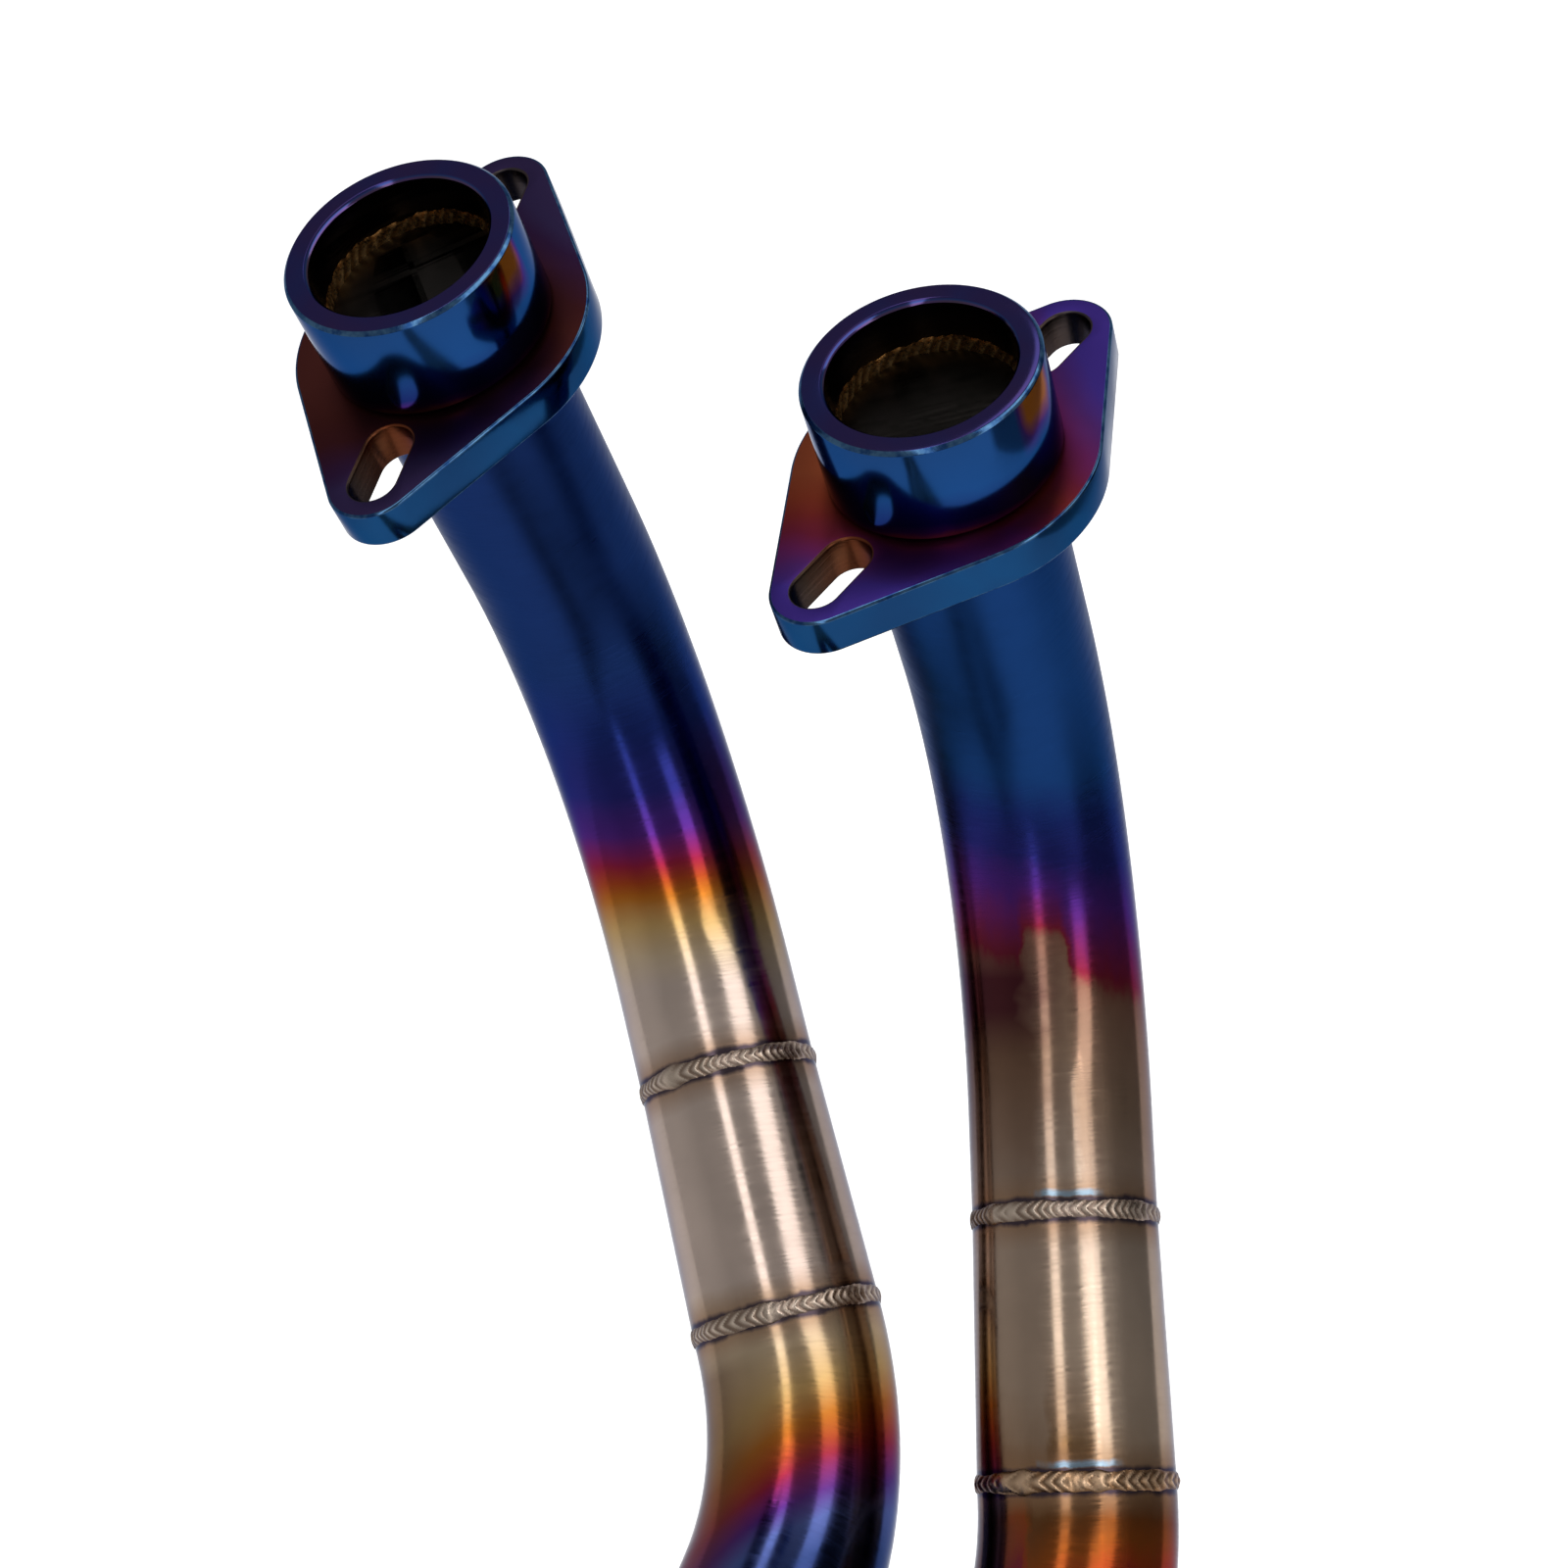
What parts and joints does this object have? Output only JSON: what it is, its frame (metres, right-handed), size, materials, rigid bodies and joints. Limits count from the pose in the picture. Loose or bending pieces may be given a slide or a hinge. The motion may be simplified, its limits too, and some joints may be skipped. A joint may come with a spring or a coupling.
{
  "type": "exhaust link pipe",
  "caption": "Heat-tinted two-into-one exhaust link pipe with turned port collars, loose slotted flanges, rippled welds and a merge collector.",
  "frame": {"origin": "centre of the left collar's mouth", "axes": "+Z out of the left mouth along its port axis, +X towards the right mouth, +Y away from the bends"},
  "size_m": [0.1711, 0.3814, 0.2377],
  "materials": {
    "tinted_collar": "turned stainless, heat tinted blue",
    "tinted_flange": "flat ground stainless, heat tinted blue to bronze",
    "tinted_upper_tube": "satin stainless tube, heat tinted blue to straw",
    "bare_middle_tube": "satin stainless tube, bare to light straw",
    "tinted_lower_tube": "satin stainless tube, heat tinted straw to blue",
    "weld_bead": "rippled weld metal",
    "collar_weld_bead": "rippled weld metal, straw tinted",
    "collector_shell": "satin stainless",
    "outlet_sleeve": "satin stainless"
  },
  "bodies": {
    "pipes": {"left_collar": "tinted_collar", "left_collar_weld": "collar_weld_bead", "left_upper_tube": "tinted_upper_tube", "left_first_weld": "weld_bead", "left_middle_tube": "bare_middle_tube", "left_second_weld": "weld_bead", "left_lower_tube": "tinted_lower_tube", "left_third_weld": "weld_bead", "right_collar": "tinted_collar", "right_collar_weld": "collar_weld_bead", "right_upper_tube": "tinted_upper_tube", "right_first_weld": "weld_bead", "right_middle_tube": "bare_middle_tube", "right_second_weld": "weld_bead", "right_lower_tube": "tinted_lower_tube", "right_third_weld": "weld_bead", "collector": "collector_shell", "collector_weld": "weld_bead", "outlet_sleeve": "outlet_sleeve"},
    "left_flange": {"left_flange": "tinted_flange"},
    "right_flange": {"right_flange": "tinted_flange"}
  },
  "joints": [
    {"name": "left_flange_swivel", "type": "hinge", "parent": "pipes", "child": "left_flange", "pos_m": [0, 0, -0.0263], "axis": [0, 0, 1], "continuous": true},
    {"name": "right_flange_swivel", "type": "hinge", "parent": "pipes", "child": "right_flange", "pos_m": [0.094, -0.00214, -0.05651], "axis": [0, 0.0812, 0.9967], "continuous": true}
  ]
}
